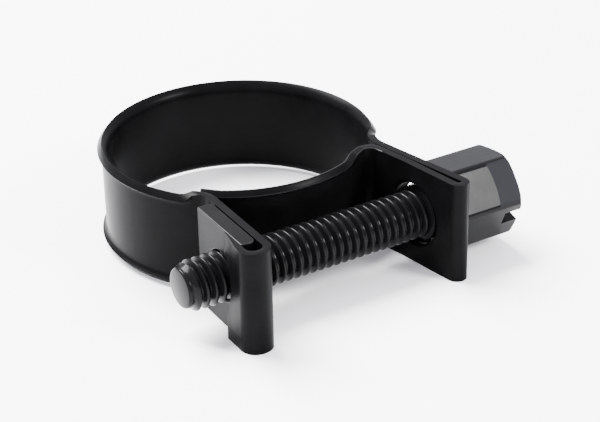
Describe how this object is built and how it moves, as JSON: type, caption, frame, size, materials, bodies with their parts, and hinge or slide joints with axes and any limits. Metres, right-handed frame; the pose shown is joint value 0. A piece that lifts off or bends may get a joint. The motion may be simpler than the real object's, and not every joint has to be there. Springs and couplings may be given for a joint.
{
  "type": "hose clamp",
  "caption": "Small screw hose clamp: a bent steel band with two folded ears, a nut plate held in one ear and a slotted hexagon-head screw pulling the ears together.",
  "frame": {"origin": "centre of the footprint, on the surface that the clamp lies on", "axes": "+Z along the hose's axis, +X along the screw from its tip to its head, and the ears at -Y"},
  "size_m": [0.0282, 0.0286, 0.0081],
  "materials": {
    "band": "semi-gloss black coated steel",
    "nut_plate": "semi-gloss black coated steel",
    "screw": "glossy black coated steel"
  },
  "bodies": {
    "head_ear": {"band_head_ear_inner": "band", "band_head_ear_outer": "band"},
    "tongue": {"band_tongue": "band"},
    "ring_right": {"band_ring_right": "band"},
    "ring_back_right": {"band_ring_back_right": "band"},
    "ring_back_left": {"band_ring_back_left": "band"},
    "ring_left": {"band_ring_left": "band"},
    "nut_ear": {"band_nut_ear": "band", "nut_plate": "nut_plate"},
    "screw": {"screw": "screw"}
  },
  "joints": [
    {"name": "screw_turn", "type": "hinge", "parent": "head_ear", "child": "screw", "pos_m": [0.01016, -0.00912, 0.00407], "axis": [-1, 0, 0], "range_deg": [0, 3240]},
    {"name": "tongue_flex", "type": "hinge", "parent": "head_ear", "child": "tongue", "pos_m": [0.00443, -0.00433, 0.00407], "axis": [0, 0, 1], "range_deg": [-28.35, 0]},
    {"name": "right_foot_flex", "type": "hinge", "parent": "head_ear", "child": "ring_right", "pos_m": [0.00672, -0.00272, 0.00407], "axis": [0, 0, 1], "range_deg": [-12.39, 0]},
    {"name": "ring_flex_right", "type": "hinge", "parent": "ring_right", "child": "ring_back_right", "pos_m": [0.00683, 0.00902, 0.00407], "axis": [0, 0, 1], "range_deg": [0, 9.66]},
    {"name": "ring_flex_back", "type": "hinge", "parent": "ring_back_right", "child": "ring_back_left", "pos_m": [-0.00293, 0.01362, 0.00407], "axis": [0, 0, 1], "range_deg": [0, 9.49]},
    {"name": "ring_flex_left", "type": "hinge", "parent": "ring_back_left", "child": "ring_left", "pos_m": [-0.01151, 0.00709, 0.00407], "axis": [0, 0, 1], "range_deg": [0, 9.32]},
    {"name": "left_foot_flex", "type": "hinge", "parent": "ring_left", "child": "nut_ear", "pos_m": [-0.01006, -0.00307, 0.00407], "axis": [0, 0, 1], "range_deg": [-16.03, 0]}
  ],
  "couplings": [
    {"joint": "tongue_flex", "follows": "screw_turn", "ratio": -0.0087346},
    {"joint": "right_foot_flex", "follows": "screw_turn", "ratio": -0.003809},
    {"joint": "ring_flex_right", "follows": "screw_turn", "ratio": 0.0029653},
    {"joint": "ring_flex_back", "follows": "screw_turn", "ratio": 0.0029128},
    {"joint": "ring_flex_left", "follows": "screw_turn", "ratio": 0.0028617},
    {"joint": "left_foot_flex", "follows": "screw_turn", "ratio": -0.0049307}
  ]
}
